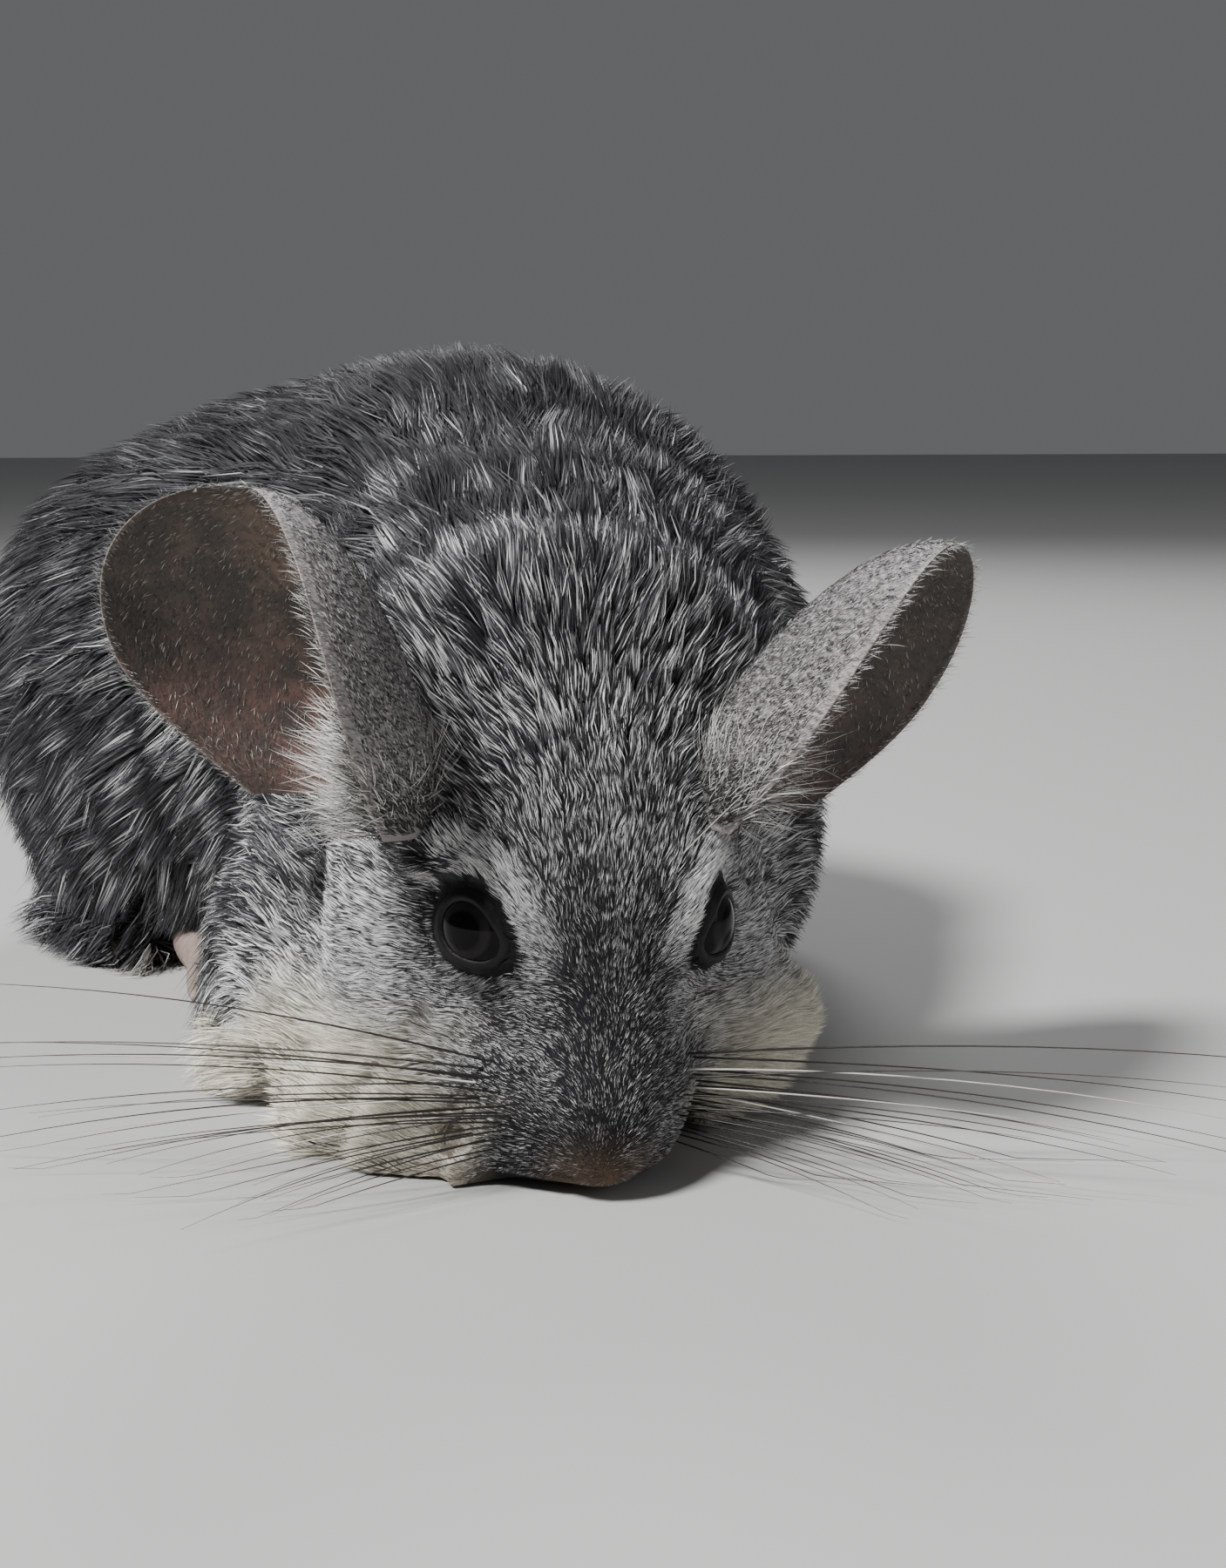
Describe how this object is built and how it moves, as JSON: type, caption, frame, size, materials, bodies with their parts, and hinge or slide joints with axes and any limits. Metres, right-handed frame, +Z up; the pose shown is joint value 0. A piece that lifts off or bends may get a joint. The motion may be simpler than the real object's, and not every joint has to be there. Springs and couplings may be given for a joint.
{
  "type": "chinchilla",
  "caption": "Life-size grey chinchilla lying crouched with its chin on the ground, large round ears spread, bushy tail laid round behind it.",
  "frame": {"origin": "on the floor under the middle of the whole animal's bounding box", "axes": "+X to the animal's left, +Y to its tail, +Z up"},
  "size_m": [0.1782, 0.2786, 0.1071],
  "materials": {
    "coat": "dense soft agouti fur, dark under pale tips",
    "skin": "thin pigmented skin with sparse short hair",
    "eye": "wet gloss"
  },
  "bodies": {
    "root": {"torso": "coat", "rump": "coat", "neck": "coat", "thigh_left": "coat", "thigh_right": "coat", "arm_left": "coat", "arm_right": "coat", "head": "coat", "muzzle": "coat", "whisker_pad_left": "coat", "whisker_pad_right": "coat", "tail_root": "coat", "tail_middle": "coat", "tail_tip": "coat", "hand_left": "skin", "hand_right": "skin", "foot_left": "skin", "foot_right": "skin", "ear_left": "skin", "ear_right": "skin", "eye_left": "eye", "eye_right": "eye"}
  },
  "joints": []
}
